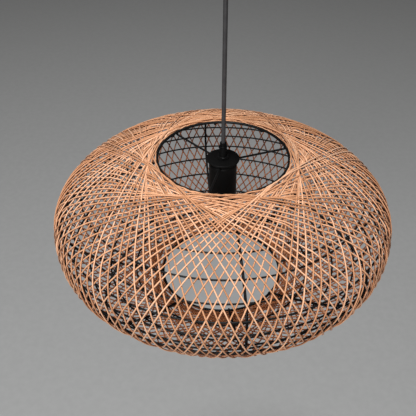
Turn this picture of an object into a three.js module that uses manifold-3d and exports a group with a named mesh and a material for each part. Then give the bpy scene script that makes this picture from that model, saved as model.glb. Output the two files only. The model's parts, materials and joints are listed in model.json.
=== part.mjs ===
// A pendant ceiling light: a flattened globe of wound cord on a wire cage, hung by a round cord
// from a ceiling canopy. Millimetres, +Z up. The origin is on the ceiling, at the centre of the
// mounting bracket. Azimuths are measured from the front, -Y, towards +X.
import * as THREE from 'three';
import { mergeVertices } from 'three/addons/utils/BufferGeometryUtils.js';
import Module from 'manifold-3d';

const wasm = await Module();
wasm.setup();

// ---------------------------------------------------------------- driving dimensions

const GAP = 0.3; // between neighbouring pieces

// The shade's outline is a superellipse: (r / radius)^RADIAL_POWER + (z / reach)^HEIGHT_POWER = 1.
const SHADE_RADIUS = 250;
const SHADE_REACH = 121.2;
const RADIAL_POWER = 1.58;
const HEIGHT_POWER = 2.38;
const SHADE_CENTRE_Z = -395;
const MOUTH_RADIUS = 96; // where the wound skin ends, round each mouth
const SKIN = 3; // two crossing layers of cord

// Wire cage
const RING_RADIUS = 93.3;
const RING_WIRE = 4;
const RING_HEIGHT = 108.4;
const RIB_COUNT = 8;
const RIB_WIRE = 3.6;
const FIRST_RIB = THREE.MathUtils.degToRad(7.7);
const HOOP_WIRE = 2.2;
const HOOP_HEIGHTS = [9, 27.5, 46, 64, 80, 94];
const SPOKE_WIRE = 3;
const SPOKE_AZIMUTHS = [107, 228, 348].map(THREE.MathUtils.degToRad);
const CHORD_SAG = 0.6; // room for the flats of the skin
const HUB_RADIUS = 17;

// Cord and its grips
const CORD = 6;
const CORD_BORE = 3.4; // radius of each bore that the cord runs through
const CORE = 2.2;
const STEM_RADIUS = 4.95; // hollow M10 stem
const STEM_HOLE = 5.3; // radius of each hole that a stem goes through
const NUT_RADIUS = 9; // to the corners, which makes 15.6 across the flats
const NUT_HEIGHT = 4;

// Canopy
const CANOPY_RADIUS = 50;
const CANOPY_HEIGHT = 30;
const CANOPY_WALL = 1.2;
const CANOPY_LIFT = 0.6; // the rim stands off the ceiling by this
const GRIP_RADIUS = 9.2; // of the cord grip under the canopy
const PIVOT_Z = -50; // where the cord starts to bend

// Lampholder, heights above the shade's centre
const CAP_RADIUS = 23.5;
const CAP_TOP = 105.7;
const CAP_THICK = 3;
const HUB_THICK = 3.2;
const COVER_RADIUS = 20;
const COVER_WALL = 1.2;
const COVER_BOTTOM = 38;
const GRIP_TOP = 131;
const GRIP_SCREW_HEIGHT = 125.4;
const GRIP_SCREW_AZIMUTH = THREE.MathUtils.degToRad(-42);

const ROUND = 32; // sides of the shade's rings
const FINE = 24; // sides of small round pieces
const BANDS = 20; // flats along the shade's outline

// ---------------------------------------------------------------- materials

function finish(color, roughness, metalness) {
  return new THREE.MeshStandardMaterial({ color, roughness, metalness });
}

const blackSteel = finish(0x17171a, 0.5, 0.6);
const blackPlastic = finish(0x141415, 0.45, 0);
const cordSheath = finish(0x1b1b1d, 0.7, 0);
const wovenCord = finish(0xe3a07a, 0.8, 0);
const zincSteel = finish(0xb4b8bc, 0.4, 0.9);
const brass = finish(0xc9a24a, 0.35, 0.95);
const insulator = finish(0xe6e2d8, 0.5, 0);
const rubber = finish(0x222222, 0.9, 0);
const brownCore = finish(0x6b3a1e, 0.6, 0);
const blueCore = finish(0x2a5d9c, 0.6, 0);

// ---------------------------------------------------------------- shape helpers

/** A solid of revolution about Z from [radius, height] points, which run upwards on its outside. */
function revolve(points, sides, start = 0) {
  const profile = points.map(([r, z]) => new THREE.Vector2(r, z));
  return new THREE.LatheGeometry(profile, sides, start).rotateX(Math.PI / 2);
}

/** A ring about Z with a closed section. */
function ring(points, sides, start = 0) {
  return revolve([...points, points[0]], sides, start);
}

/** A plain washer, sleeve or bush. */
function sleeve(inner, outer, bottom, top, sides = FINE) {
  return ring([[inner, bottom], [outer, bottom], [outer, top], [inner, top]], sides);
}

/** A round wire bent into a ring. */
function wireRing(radius, height, diameter, corners) {
  const section = [];
  for (let i = 0; i < corners; i += 1) {
    const turn = ((i + 0.5) / corners) * 2 * Math.PI;
    section.push([radius + (diameter / 2) * Math.cos(turn), height + (diameter / 2) * Math.sin(turn)]);
  }
  return ring(section, ROUND, FIRST_RIB);
}

/** A round rod or cord along a curve. */
function rod(curve, diameter, corners, steps) {
  const section = new THREE.Shape();
  for (let i = 0; i < corners; i += 1) {
    const turn = (i / corners) * 2 * Math.PI;
    const draw = i === 0 ? 'moveTo' : 'lineTo';
    section[draw]((diameter / 2) * Math.cos(turn), (diameter / 2) * Math.sin(turn));
  }
  return new THREE.ExtrudeGeometry(section, { steps, curveSegments: 1, extrudePath: curve });
}

function straight(from, to) {
  return new THREE.LineCurve3(new THREE.Vector3(...from), new THREE.Vector3(...to));
}

function curved(...points) {
  return new THREE.CatmullRomCurve3(points.map((p) => new THREE.Vector3(...p)), false, 'centripetal');
}

/** A box between two corners. */
function block(low, high) {
  const size = high.map((value, i) => value - low[i]);
  const middle = high.map((value, i) => (value + low[i]) / 2);
  return new THREE.BoxGeometry(...size).translate(...middle);
}

/** A manifold-3d solid of a closed geometry. */
function toSolid(geometry) {
  const bare = geometry.clone();
  bare.deleteAttribute('normal');
  bare.deleteAttribute('uv');
  const { attributes, index } = mergeVertices(bare);
  const corners = index.array;
  const kept = [];
  for (let i = 0; i < corners.length; i += 3) {
    const [a, b, c] = corners.slice(i, i + 3);
    if (a !== b && b !== c && c !== a) {
      kept.push(a, b, c);
    }
  }
  const vertProperties = new Float32Array(attributes.position.array);
  return new wasm.Manifold(new wasm.Mesh({ numProp: 3, vertProperties, triVerts: new Uint32Array(kept) }));
}

/** The geometry of a manifold-3d solid. */
function toGeometry(solid) {
  const { vertProperties, triVerts } = solid.getMesh();
  const geometry = new THREE.BufferGeometry();
  geometry.setAttribute('position', new THREE.BufferAttribute(vertProperties, 3));
  geometry.setIndex(new THREE.BufferAttribute(triVerts, 1));
  geometry.computeVertexNormals();
  return geometry;
}

function cut(geometry, ...tools) {
  return toGeometry(tools.reduce((solid, tool) => solid.subtract(toSolid(tool)), toSolid(geometry)));
}

function join(geometry, ...others) {
  return toGeometry(others.reduce((solid, other) => solid.add(toSolid(other)), toSolid(geometry)));
}

/** A slotted screw along +X: its tip is at x = 0 and its head ends at x = length + head height. */
function screw(shankRadius, length, headRadius, headHeight) {
  const slot = headRadius / 5;
  const body = revolve(
    [[0, 0], [shankRadius, 0], [shankRadius, length], [headRadius, length],
      [headRadius, length + headHeight], [0, length + headHeight]], 12);
  const groove = block(
    [-headRadius - 1, -slot, length + headHeight * 0.6],
    [headRadius + 1, slot, length + headHeight + 1]);
  return cut(body, groove).rotateY(Math.PI / 2);
}

function hexNut(bottom, height = NUT_HEIGHT) {
  const outside = new THREE.CylinderGeometry(NUT_RADIUS, NUT_RADIUS, height, 6).rotateX(Math.PI / 2);
  const hole = sleeve(0, STEM_HOLE, -height, height);
  return cut(outside, hole).translate(0, 0, bottom + height / 2);
}

const light = new THREE.Group();
const lamp = new THREE.Group();
lamp.position.z = SHADE_CENTRE_Z;
light.add(lamp);

function place(group, name, geometry, material) {
  const mesh = new THREE.Mesh(geometry, material);
  mesh.name = name;
  group.add(mesh);
  return mesh;
}

// ---------------------------------------------------------------- the shade's outline

/** A point [r, z] of the shade's outline, moved inwards square to it. The equator is at angle 0. */
function outline(angle, inset = 0) {
  const on = (a) => new THREE.Vector2(
    SHADE_RADIUS * Math.cos(a) ** (2 / RADIAL_POWER),
    SHADE_REACH * Math.sign(a) * Math.abs(Math.sin(a)) ** (2 / HEIGHT_POWER));
  const step = 1e-4;
  const along = on(angle + step).sub(on(angle - step)).normalize();
  const point = on(angle);
  return [point.x - along.y * inset, point.y + along.x * inset];
}

/** The outline's angle at a radius. */
function angleAtRadius(radius) {
  return Math.acos((radius / SHADE_RADIUS) ** (RADIAL_POWER / 2));
}

/** The outline's angle where the inset outline has a height above the centre. */
function angleAtHeight(height, inset) {
  let [low, high] = [0, angleAtRadius(MOUTH_RADIUS)];
  for (let i = 0; i < 40; i += 1) {
    const middle = (low + high) / 2;
    [low, high] = outline(middle, inset)[1] < height ? [middle, high] : [low, middle];
  }
  return low;
}

const mouthAngle = angleAtRadius(MOUTH_RADIUS);
const bandAngles = [];
for (let i = 0; i <= BANDS; i += 1) {
  bandAngles.push(mouthAngle * ((2 * i) / BANDS - 1));
}

// ---------------------------------------------------------------- shade

function wovenShade() {
  const outside = bandAngles.map((a) => outline(a));
  const inside = bandAngles.map((a) => outline(a, SKIN)).reverse();
  return ring([...outside, ...inside], ROUND, FIRST_RIB);
}

const hoopDepth = SKIN + GAP + CHORD_SAG + HOOP_WIRE / 2;
const ribDepth = hoopDepth + HOOP_WIRE / 2 + GAP + RIB_WIRE / 2;
const ribEndDepth = SKIN + 2 * GAP + RIB_WIRE / 2; // close under the ring
const ribEndAngle = angleAtRadius(RING_RADIUS + 1);
const lastHoopAngle = angleAtHeight(HOOP_HEIGHTS.at(-1) + HOOP_WIRE, hoopDepth);

/** One rib from ring to ring inside the hoops, in the plane of its azimuth. */
function rib(azimuth) {
  const angles = [-ribEndAngle, ...bandAngles.slice(1, -1), ribEndAngle];
  const points = angles.map((a) => {
    const share = Math.max(0, (Math.abs(a) - lastHoopAngle) / (ribEndAngle - lastHoopAngle));
    const [r, z] = outline(a, THREE.MathUtils.lerp(ribDepth, ribEndDepth, share));
    return new THREE.Vector3(r * Math.sin(azimuth), -r * Math.cos(azimuth), z);
  });
  const path = new THREE.CatmullRomCurve3(points, false, 'centripetal');
  path.getPointAt = (t) => path.getPoint(t); // one step of the rod to each point
  return rod(path, RIB_WIRE, 6, BANDS);
}

place(lamp, 'woven_shade', wovenShade(), wovenCord);
place(lamp, 'top_ring', wireRing(RING_RADIUS, RING_HEIGHT, RING_WIRE, 8), blackSteel);
place(lamp, 'bottom_ring', wireRing(RING_RADIUS, -RING_HEIGHT, RING_WIRE, 8), blackSteel);

for (let i = 0; i < RIB_COUNT; i += 1) {
  place(lamp, `rib_${i + 1}`, rib(FIRST_RIB + (i * 2 * Math.PI) / RIB_COUNT), blackSteel);
}

HOOP_HEIGHTS.forEach((height, i) => {
  const [radius] = outline(angleAtHeight(height, hoopDepth), hoopDepth);
  place(lamp, `upper_hoop_${i + 1}`, wireRing(radius, height, HOOP_WIRE, 6), blackSteel);
  place(lamp, `lower_hoop_${i + 1}`, wireRing(radius, -height, HOOP_WIRE, 6), blackSteel);
});

// ---------------------------------------------------------------- spider

const hubTop = CAP_TOP - CAP_THICK - GAP;
const hubBottom = hubTop - HUB_THICK;
const coverTop = hubBottom - 2 * GAP;
place(lamp, 'spider_hub', sleeve(STEM_HOLE, HUB_RADIUS, hubBottom, hubTop), blackSteel);

SPOKE_AZIMUTHS.forEach((azimuth, i) => {
  const innerZ = coverTop + GAP + SPOKE_WIRE / 2;
  const outerZ = RING_HEIGHT - RING_WIRE / 2 - GAP - SPOKE_WIRE / 2;
  const at = (r, z) => [r * Math.sin(azimuth), -r * Math.cos(azimuth), z];
  const line = straight(at(HUB_RADIUS + GAP, innerZ), at(RING_RADIUS + 1, outerZ));
  place(lamp, `spoke_${i + 1}`, rod(line, SPOKE_WIRE, 8, 1), blackSteel);
});

// ---------------------------------------------------------------- lampholder

const coverBevel = 3;
const innerNutTop = coverTop - 1.5 - GAP;
const domeTop = innerNutTop - NUT_HEIGHT - GAP;
const domeRadius = 18;
const domeWall = 1.6;
const domeBottom = 72;
const insertTop = 77;
const insertBottom = 68;
const stemBottom = domeTop - 5;

place(lamp, 'cap_disc', sleeve(STEM_HOLE, CAP_RADIUS, CAP_TOP - CAP_THICK, CAP_TOP, ROUND), blackPlastic);
place(lamp, 'outer_lock_nut', hexNut(CAP_TOP + GAP), blackSteel);
place(lamp, 'inner_lock_nut', hexNut(innerNutTop - NUT_HEIGHT), zincSteel);

/** The tube that hides the lampholder, closed at the top. */
function coverTube() {
  const inside = COVER_RADIUS - COVER_WALL;
  return ring(
    [[inside, COVER_BOTTOM], [COVER_RADIUS, COVER_BOTTOM], [COVER_RADIUS, coverTop - coverBevel],
      [COVER_RADIUS - coverBevel / 3, coverTop - coverBevel / 3], [COVER_RADIUS - coverBevel, coverTop],
      [STEM_HOLE, coverTop], [STEM_HOLE, coverTop - 1.5], [COVER_RADIUS - coverBevel, coverTop - 1.5],
      [inside, coverTop - coverBevel]], ROUND);
}
place(lamp, 'cover_tube', coverTube(), blackPlastic);

/** A cord grip with a hollow threaded stem below its body, and a side hole for its screw. */
function holderGrip() {
  const bodyBottom = CAP_TOP + GAP + NUT_HEIGHT + GAP;
  const body = 5.5;
  const shape = ring(
    [[CORD_BORE, stemBottom], [STEM_RADIUS, stemBottom], [STEM_RADIUS, bodyBottom], [body, bodyBottom],
      [body, GRIP_TOP - 4], [body - 1.2, GRIP_TOP], [CORD_BORE, GRIP_TOP]], FINE);
  const hole = sleeve(0, 1.8, 0, 12, 12).rotateY(Math.PI / 2);
  return cut(shape, hole.rotateZ(GRIP_SCREW_AZIMUTH - Math.PI / 2).translate(0, 0, GRIP_SCREW_HEIGHT));
}
place(lamp, 'holder_cord_grip', holderGrip(), blackPlastic);
const gripScrew = screw(1.5, 2.2, 2.4, 1.6).translate(CORD_BORE + GAP, 0, 0);
gripScrew.rotateZ(GRIP_SCREW_AZIMUTH - Math.PI / 2).translate(0, 0, GRIP_SCREW_HEIGHT);
place(lamp, 'holder_grip_screw', gripScrew, blackSteel);

/** The lampholder's upper shell, which screws onto the stem. */
function holderDome() {
  return ring(
    [[domeRadius - domeWall, domeBottom], [domeRadius, domeBottom], [domeRadius, domeTop - 3],
      [domeRadius - 3, domeTop], [STEM_HOLE, domeTop], [STEM_HOLE, domeTop - 2.5],
      [domeRadius - 4, domeTop - 2.5], [domeRadius - domeWall, domeTop - 5]], FINE);
}
place(lamp, 'holder_dome', holderDome(), blackPlastic);

/** The insulating disc that carries the contacts, with a raised block for each terminal. */
function contactInsert() {
  const disc = revolve([[0, insertBottom], [15.9, insertBottom], [15.9, insertTop - 3], [0, insertTop - 3]], FINE);
  const rightBlock = block([6.5, -5, insertTop - 5], [13, 5, insertTop]);
  const leftBlock = block([-13, -5, insertTop - 5], [-6.5, 5, insertTop]);
  return join(disc, rightBlock, leftBlock);
}
place(lamp, 'contact_insert', contactInsert(), insulator);

[-1, 1].forEach((side) => {
  const name = side < 0 ? 'holder_terminal_live' : 'holder_terminal_neutral';
  const head = revolve([[0, 0], [2, 0], [2, 1.8], [0, 1.8]], 12);
  place(lamp, name, head.translate(side * 10.6, 0, insertTop + GAP), brass);
});

/** The lampholder's lower shell, with the flange that holds the cover tube up. */
function holderShell() {
  const flangeTop = COVER_BOTTOM - GAP;
  const flangeBottom = flangeTop - 3;
  return ring(
    [[14.9, flangeBottom], [COVER_RADIUS, flangeBottom], [COVER_RADIUS, flangeTop], [domeRadius, flangeTop],
      [domeRadius, domeBottom - GAP], [16.6, domeBottom - GAP], [16.6, insertBottom - GAP],
      [14.9, insertBottom - GAP]], FINE);
}
place(lamp, 'holder_shell', holderShell(), blackPlastic);

/** The rolled E27 screw shell: rounded threads in thin brass. */
function threadShell() {
  const turns = 5;
  const pitch = 27 / 7;
  const bottom = 44;
  const wall = 0.5;
  const outside = [];
  for (let i = 0; i <= 2 * turns; i += 1) {
    outside.push([i % 2 ? 13.4 : 14.4, bottom + (i * pitch) / 2]);
  }
  const inside = outside.map(([r, z]) => [r - wall, z]).reverse();
  return ring([...outside, ...inside], FINE);
}
place(lamp, 'thread_shell', threadShell(), brass);

/** The centre contact: a sprung strip from its root at the left, bent down to the lamp's axis. */
function centreContact() {
  const thick = 0.6;
  const half = 2.5;
  const side = new THREE.Shape();
  side.moveTo(-9, 67.6);
  side.lineTo(-9, 67.6 - thick);
  side.lineTo(-5, 67.6 - thick);
  side.lineTo(-1, 64.6);
  side.lineTo(3, 65.2);
  side.lineTo(3, 65.2 + thick);
  side.lineTo(-1, 64.6 + thick);
  side.lineTo(-5, 67.6);
  const strip = new THREE.ExtrudeGeometry(side, { depth: 2 * half, bevelEnabled: false });
  return strip.rotateX(Math.PI / 2).translate(0, half, 0);
}
place(lamp, 'centre_contact', centreContact(), brass);

const holderCordBottom = stemBottom - 2;
place(
  lamp, 'cord_in_holder', rod(straight([0, 0, holderCordBottom], [0, 0, GRIP_TOP]), CORD, 8, 1), cordSheath);
[-1, 1].forEach((side) => {
  const path = curved(
    [side * 1.5, 0, holderCordBottom - GAP], [side * 1.5, 0, holderCordBottom - 2],
    [side * 6.5, 3.2, insertTop + 3], [side * 8.5, 3.4, insertTop + 1.5]);
  const name = side < 0 ? 'holder_live_core' : 'holder_neutral_core';
  place(lamp, name, rod(path, CORE, 6, 8), side < 0 ? brownCore : blueCore);
});

// ---------------------------------------------------------------- pendant cord

const cordTop = PIVOT_Z - 1;
const cordBottom = SHADE_CENTRE_Z + GRIP_TOP + GAP;
place(light, 'pendant_cord', rod(straight([0, 0, cordBottom], [0, 0, cordTop]), CORD, 10, 14), cordSheath);

// ---------------------------------------------------------------- canopy and its cord grip

const canopyBottom = -CANOPY_HEIGHT;

/** A shallow spun cup with a rounded lower edge, a stem hole and two side holes. */
function canopyCup() {
  const corner = 7;
  const inner = CANOPY_RADIUS - CANOPY_WALL;
  const outside = [];
  const inside = [];
  for (let i = 0; i <= 4; i += 1) {
    const turn = (i / 4) * (Math.PI / 2);
    const [sin, cos] = [Math.sin(turn), Math.cos(turn)];
    const centre = [CANOPY_RADIUS - corner, canopyBottom + corner];
    outside.push([centre[0] + corner * sin, centre[1] - corner * cos]);
    inside.unshift([
      centre[0] + (corner - CANOPY_WALL) * sin, centre[1] - (corner - CANOPY_WALL) * cos]);
  }
  const cup = ring(
    [[STEM_HOLE, canopyBottom], ...outside, [CANOPY_RADIUS, -CANOPY_LIFT], [inner, -CANOPY_LIFT],
      ...inside, [STEM_HOLE, canopyBottom + CANOPY_WALL]], ROUND);
  const drill = sleeve(0, 2.4, -60, 60, 12).rotateY(Math.PI / 2).translate(0, 0, -10);
  return cut(cup, drill);
}
place(light, 'canopy_cup', canopyCup(), blackSteel);

/** A steel crossbar with two ceiling slots, a tapped tab at each end and an ear for the terminals. */
function mountingBracket() {
  const half = 46;
  const thick = 2;
  const bar = new THREE.Shape();
  [[-half, -9], [half, -9], [half, 9], [9, 9], [9, 36], [-9, 36], [-9, 9], [-half, 9]]
    .forEach(([x, y], i) => bar[i ? 'lineTo' : 'moveTo'](x, y));
  const plate = new THREE.ExtrudeGeometry(bar, { depth: thick, bevelEnabled: false }).translate(0, 0, -thick);
  const slots = [-24, 24].flatMap((x) => [
    block([x - 5, -2.5, -thick - 1], [x + 5, 2.5, 1]),
    sleeve(0, 2.5, -thick - 1, 1, 12).translate(x - 5, 0, 0),
    sleeve(0, 2.5, -thick - 1, 1, 12).translate(x + 5, 0, 0)]);
  const tabs = [block([half - thick, -9, -16], [half, 9, -1]), block([-half, -9, -16], [thick - half, 9, -1])];
  const drill = sleeve(0, 2.4, -60, 60, 12).rotateY(Math.PI / 2).translate(0, 0, -10);
  const earHole = sleeve(0, 1.9, -thick - 1, 1, 12).translate(0, 22, 0);
  return cut(join(plate, ...tabs), drill, earHole, ...slots);
}
place(light, 'mounting_bracket', mountingBracket(), zincSteel);

[1, -1].forEach((side, i) => {
  const body = screw(2, 10, 4, 3).translate(CANOPY_RADIUS + GAP - 10, 0, -10);
  place(light, `canopy_screw_${i + 1}`, side > 0 ? body : body.rotateZ(Math.PI), blackSteel);
});

/** The two-pole terminal block, screwed up under the bracket's ear. */
function terminalBlock() {
  const body = block([-8.5, 14, -14.3], [8.5, 30, -2 - GAP]);
  const wires = [-4.5, 4.5].map((x) => sleeve(0, 1.7, 0, 40, 8).rotateX(Math.PI / 2).translate(x, 40, -9.5));
  const heads = [-4.5, 4.5].map((x) => sleeve(0, 1.7, -15, -9.5, 8).translate(x, 19, 0));
  const fixing = sleeve(0, 1.9, -20, 0, 12).translate(0, 22, 0);
  return cut(body, ...wires, ...heads, fixing);
}
place(light, 'terminal_block', terminalBlock(), insulator);
place(
  light, 'terminal_fixing_screw',
  screw(1.5, 14, 3, 1.6).rotateY(Math.PI / 2).translate(0, 22, -0.8), zincSteel);
[-4.5, 4.5].forEach((x, i) => {
  const clamp = revolve([[0, -14.3], [1.35, -14.3], [1.35, -11.8], [0, -11.8]], 8).translate(x, 19, 0);
  place(light, `terminal_screw_${i + 1}`, clamp, brass);
});

/** The canopy's cord grip: a stem up through the canopy, and a body with a seat for the bush. */
function canopyGrip() {
  const bodyTop = canopyBottom - GAP;
  const seat = 6.6;
  const lip = 5.95; // holds the bush in and lets the cord lean
  const mouth = 7.5;
  const shape = ring(
    [[mouth, PIVOT_Z - 5.3], [GRIP_RADIUS - 0.6, PIVOT_Z - 5.3], [GRIP_RADIUS, PIVOT_Z - 4.2],
      [GRIP_RADIUS, bodyTop], [STEM_RADIUS, bodyTop], [STEM_RADIUS, -21], [CORD_BORE, -21],
      [CORD_BORE, PIVOT_Z + 6.5], [seat, PIVOT_Z + 4], [seat, PIVOT_Z - 0.5], [6.4, PIVOT_Z - 1.7],
      [lip, PIVOT_Z - 3], [6.6, PIVOT_Z - 4]], FINE);
  const hole = sleeve(0, 1.8, 0, 12, 12).rotateY(-Math.PI / 2).translate(0, 0, bodyTop - 7);
  return cut(shape, hole);
}
place(light, 'canopy_cord_grip', canopyGrip(), blackPlastic);
place(
  light, 'canopy_grip_screw',
  screw(1.5, GRIP_RADIUS - CORD_BORE, 2.6, 2.4).rotateZ(Math.PI)
    .translate(-CORD_BORE - GAP, 0, canopyBottom - GAP - 7), blackSteel);
place(light, 'canopy_lock_nut', hexNut(canopyBottom + CANOPY_WALL + GAP), zincSteel);

/** A rubber bush with a round outside, so that it can lean with the cord, and a waisted bore. */
function cordBush() {
  const ball = 6.2;
  const rows = [-3, -1.5, 0, 1.5, 3];
  const outside = rows.map((z) => [Math.sqrt(ball ** 2 - z ** 2), PIVOT_Z + z]);
  const inside = [[4.85, 3], [3.75, 0.7], [3.75, -0.7], [4.85, -3]].map(([r, z]) => [r, PIVOT_Z + z]);
  return ring([...outside, ...inside], FINE);
}
place(light, 'cord_bush', cordBush(), rubber);

const sheathTop = -14;
place(
  light, 'cord_in_canopy', rod(straight([0, 0, PIVOT_Z + 1.6], [0, 0, sheathTop]), CORD, 8, 1), cordSheath);
[-1, 1].forEach((side) => {
  const path = curved(
    [side * 1.5, 0, sheathTop + GAP], [side * 1.5, 0, sheathTop + 1.8], [side * 3.2, 5, -9.8],
    [side * 4.5, 11, -9.5], [side * 4.5, 16.5, -9.5]);
  const name = side < 0 ? 'canopy_live_core' : 'canopy_neutral_core';
  place(light, name, rod(path, CORE, 6, 10), side < 0 ? brownCore : blueCore);
});

export default light;
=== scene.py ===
"""Looks of a pendant ceiling light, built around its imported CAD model. Metres, +Z up."""

import json
import math

import bmesh
import bpy
import numpy as np
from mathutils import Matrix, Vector

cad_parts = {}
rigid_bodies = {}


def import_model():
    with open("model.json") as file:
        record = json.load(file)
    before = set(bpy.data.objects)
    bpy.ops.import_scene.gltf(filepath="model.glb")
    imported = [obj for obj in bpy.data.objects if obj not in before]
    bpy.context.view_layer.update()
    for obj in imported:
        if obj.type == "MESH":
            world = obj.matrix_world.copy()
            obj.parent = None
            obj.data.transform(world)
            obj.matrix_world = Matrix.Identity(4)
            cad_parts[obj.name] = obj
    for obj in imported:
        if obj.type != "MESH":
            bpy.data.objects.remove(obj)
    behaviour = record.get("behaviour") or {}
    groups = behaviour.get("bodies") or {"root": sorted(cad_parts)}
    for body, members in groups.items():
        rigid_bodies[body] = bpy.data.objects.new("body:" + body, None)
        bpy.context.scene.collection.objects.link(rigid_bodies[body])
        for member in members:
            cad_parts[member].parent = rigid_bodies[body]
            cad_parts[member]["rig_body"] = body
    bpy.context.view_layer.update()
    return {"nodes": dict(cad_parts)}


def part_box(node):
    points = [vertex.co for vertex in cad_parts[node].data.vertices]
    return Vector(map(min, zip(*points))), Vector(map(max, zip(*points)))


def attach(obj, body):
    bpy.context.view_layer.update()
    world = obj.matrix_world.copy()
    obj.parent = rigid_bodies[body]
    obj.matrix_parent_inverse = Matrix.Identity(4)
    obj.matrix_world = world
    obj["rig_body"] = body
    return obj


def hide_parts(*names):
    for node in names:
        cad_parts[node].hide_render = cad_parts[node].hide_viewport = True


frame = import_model()

# ---------------------------------------------------------------- sizes

MM = 0.001
SEED = 11

# The shade's outline is a superellipse: (r / radius)^RADIAL_POWER + (z / reach)^HEIGHT_POWER = 1.
SHADE_RADIUS = 250 * MM
SHADE_REACH = 121.2 * MM
RADIAL_POWER = 1.58
HEIGHT_POWER = 2.38
MOUTH_RADIUS = 96 * MM

# The winding: each turn comes up from the bottom mouth, passes the top mouth and goes down again.
# Between the mouths all turns follow one even path, the shortest that comes within EVEN_RADIUS of
# the axis. Nearer than DRAWN_WITHIN, each is drawn in or let out to a nearest radius of its own: the
# turns of a fan cross at one place beside the ring, and those between two fans lie on the ring.
FANS = 7
FAN_AZIMUTH = math.radians(25)
FAN_TURNS = 15
EVEN_RADIUS = 101 * MM
DRAWN_WITHIN = 180 * MM
TURN_RADII = 95.4 * MM, 108.5 * MM  # nearest radius between two fans, and in a fan's middle
RADIUS_UNEVEN = 0.8 * MM
SPACE_UNEVEN = 0.12  # as a share of the space between two turns
RING_TURNS = 4  # one turn in so many lies on the ring, at the radius below
RING_TURN_RADIUS = 95.2 * MM
RING_LIFT = 2.3 * MM  # how far the turns rise to lie on the ring
RING_LIFT_WITHIN = 16 * MM  # of the mouth's edge
PILE = 2.2 * MM  # how far the last turn rises above the first, beside the mouths
PILE_UNEVEN = 0.4 * MM
PILE_WITHIN = 40 * MM  # of the mouth's edge
STRAND = 2.1 * MM
OVER_DEPTH = 1.05 * MM  # below the outline, where a turn passes over another
UNDER_DEPTH = 3.15 * MM
STRAND_SIDES = 8
STRAND_STEP = 3.2 * MM
TWIST_PITCH = 7 * MM
LOBE = 0.10  # how far the two twisted plies stand out, as a share of the radius

# Wire cage
RING_RADIUS = 93.3 * MM
HUB_RADIUS = 17 * MM
RING_WIRE = 4 * MM
HOOP_WIRE = 2.6 * MM
RIB_WIRE = 3.6 * MM
SPOKE_WIRE = 3 * MM
RIB_COUNT = 8
FIRST_RIB = math.radians(7.7)
HOOP_COUNT = 6
HOOP_DEPTH = 5.0 * MM
RIB_DEPTH = 8.2 * MM
RIB_END_DEPTH = 5.4 * MM
SPOKE_AZIMUTHS = [math.radians(a) for a in (107, 228, 348)]

CORD = 6 * MM
CORD_POINTS = 20
CORD_TOP_Z = -51 * MM
CORD_BOTTOM_Z = -263.7 * MM
CORE = 2.2 * MM

CAMERA_PLACE = -0.7 * MM, -762.5 * MM, 608.4 * MM  # from the shade's centre
CAMERA_PITCH = math.radians(37.9)
CAMERA_YAW = -0.027
CAMERA_LENS = 55.64

shade_low, shade_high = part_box("woven_shade")
CENTRE_Z = (shade_low.z + shade_high.z) / 2

# ---------------------------------------------------------------- materials


def new_material(name):
    material = bpy.data.materials.new(name)
    material.use_nodes = True
    return material, material.node_tree.nodes, material.node_tree.links


def ramp_of(nodes, stops):
    """A colour ramp with (position, (r, g, b)) stops."""
    ramp = nodes.new("ShaderNodeValToRGB")
    elements = ramp.color_ramp.elements
    while len(elements) < len(stops):
        elements.new(0.5)
    for element, (position, colour) in zip(elements, stops):
        element.position = position
        element.color = (*colour, 1)
    return ramp


def math_node(nodes, links, operation, *inputs):
    """The result of a maths node. Each input is a number or another node's output."""
    made = nodes.new("ShaderNodeMath")
    made.operation = operation
    for socket, value in zip(made.inputs, inputs):
        if isinstance(value, (int, float)):
            socket.default_value = value
        else:
            links.new(value, socket)
    return made.outputs["Value"]


def surface(name, dark, light, roughness, grain, depth, metallic=0.0, gleam=0.5, coat=0.0):
    """A painted, moulded or plated surface: colour drift, fine grain in the bump, uneven gloss."""
    material, nodes, links = new_material(name)
    shader = nodes["Principled BSDF"]
    shader.inputs["Metallic"].default_value = metallic
    shader.inputs["Coat Weight"].default_value = coat
    shader.inputs["Specular IOR Level"].default_value = gleam
    place = nodes.new("ShaderNodeTexCoord")
    drift = nodes.new("ShaderNodeTexNoise")
    drift.inputs["Scale"].default_value = 45
    drift.inputs["Detail"].default_value = 4
    links.new(place.outputs["Object"], drift.inputs["Vector"])
    ramp = ramp_of(nodes, [(0.3, dark), (0.7, light)])
    links.new(drift.outputs["Fac"], ramp.inputs["Fac"])
    links.new(ramp.outputs["Color"], shader.inputs["Base Color"])
    gloss = nodes.new("ShaderNodeMapRange")
    gloss.inputs["To Min"].default_value = roughness - 0.08
    gloss.inputs["To Max"].default_value = roughness + 0.08
    links.new(drift.outputs["Fac"], gloss.inputs["Value"])
    links.new(gloss.outputs["Result"], shader.inputs["Roughness"])
    fine = nodes.new("ShaderNodeTexNoise")
    fine.inputs["Scale"].default_value = grain
    fine.inputs["Detail"].default_value = 3
    links.new(place.outputs["Object"], fine.inputs["Vector"])
    bump = nodes.new("ShaderNodeBump")
    bump.inputs["Strength"].default_value = 0.35
    bump.inputs["Distance"].default_value = depth
    links.new(fine.outputs["Fac"], bump.inputs["Height"])
    links.new(bump.outputs["Normal"], shader.inputs["Normal"])
    return material


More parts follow.
